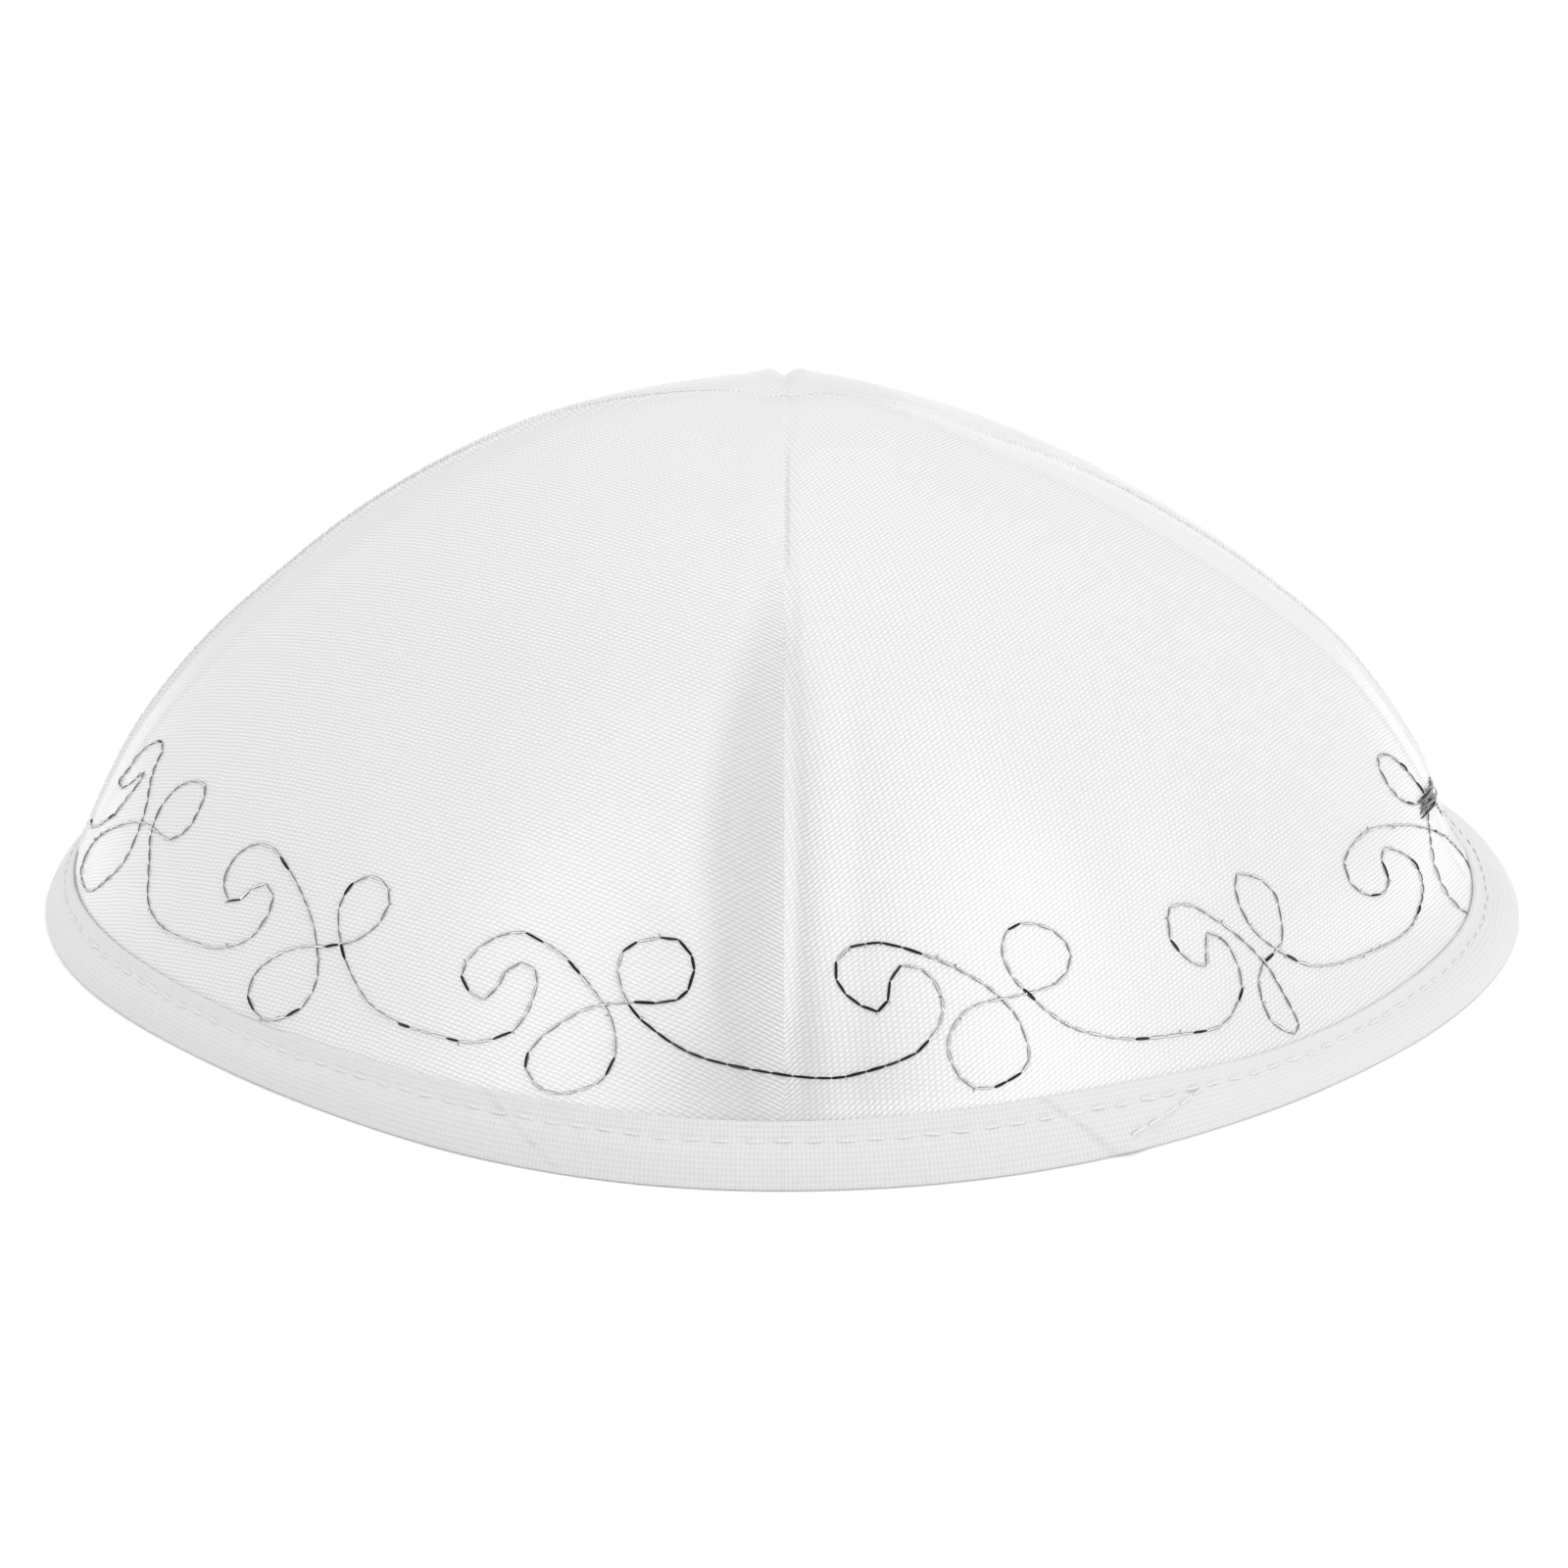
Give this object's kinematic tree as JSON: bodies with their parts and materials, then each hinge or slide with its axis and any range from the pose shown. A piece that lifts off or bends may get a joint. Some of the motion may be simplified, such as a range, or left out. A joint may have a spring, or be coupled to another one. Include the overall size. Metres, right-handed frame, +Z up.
{
  "type": "kippah skullcap",
  "caption": "Shallow domed satin skullcap of sewn gores, open underneath, with a folded tape round its rim and a scrolled border of silver thread.",
  "frame": {"origin": "middle of the rim, on the surface that the cap rests on", "axes": "+Z up through the top of the crown, -Y towards the front seam, +X to the right as seen from the front"},
  "size_m": [0.1702, 0.1702, 0.0595],
  "materials": {
    "satin": "white satin weave with a soft sheen",
    "tape": "white plain woven tape, matte",
    "thread": "silver metallic embroidery thread"
  },
  "bodies": {
    "root": {"crown_panel_front_left": "satin", "crown_panel_front_right": "satin", "crown_panel_back_left": "satin", "crown_panel_back_right": "satin", "rim_binding": "tape"}
  },
  "joints": []
}
